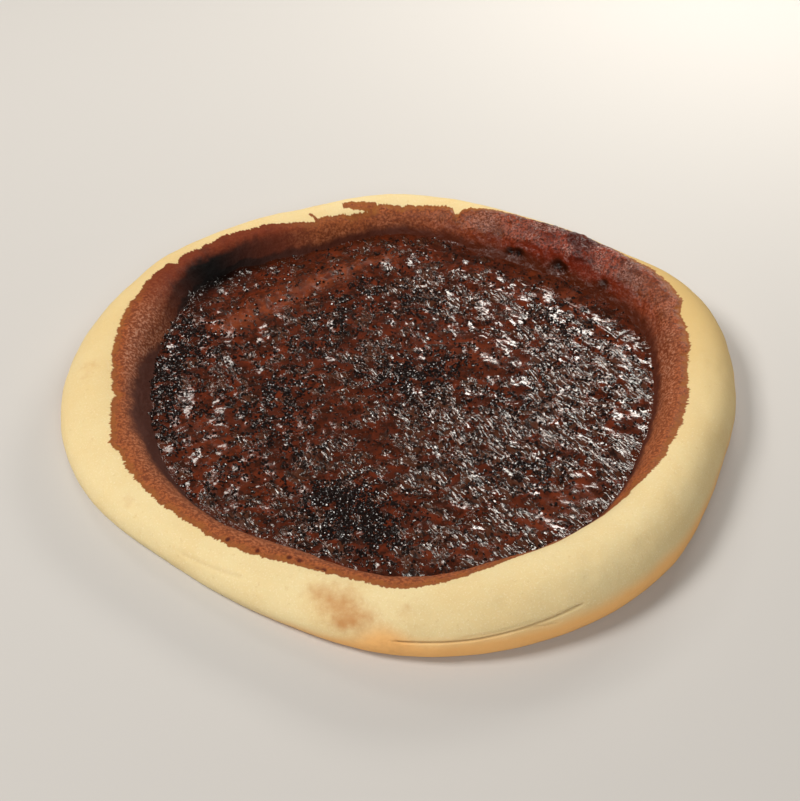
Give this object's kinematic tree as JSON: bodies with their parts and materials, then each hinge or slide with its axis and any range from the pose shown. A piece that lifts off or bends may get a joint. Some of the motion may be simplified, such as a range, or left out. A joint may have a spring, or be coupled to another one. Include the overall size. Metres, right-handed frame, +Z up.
{
  "type": "chocolate pizza",
  "caption": "Round chocolate pizza with a thick, uneven pale crust around a dish of dark baked chocolate with sugar granules.",
  "frame": {"origin": "middle of the underside, on the surface that the pizza rests on", "axes": "+Z up out of the chocolate; -Y towards the side shown nearest, +X to its right"},
  "size_m": [0.321, 0.3208, 0.0276],
  "materials": {
    "baked_dough": "matt, floury",
    "baked_chocolate": "glossy, wrinkled"
  },
  "bodies": {
    "root": {"crust": "baked_dough", "chocolate_spread": "baked_chocolate"}
  },
  "joints": []
}
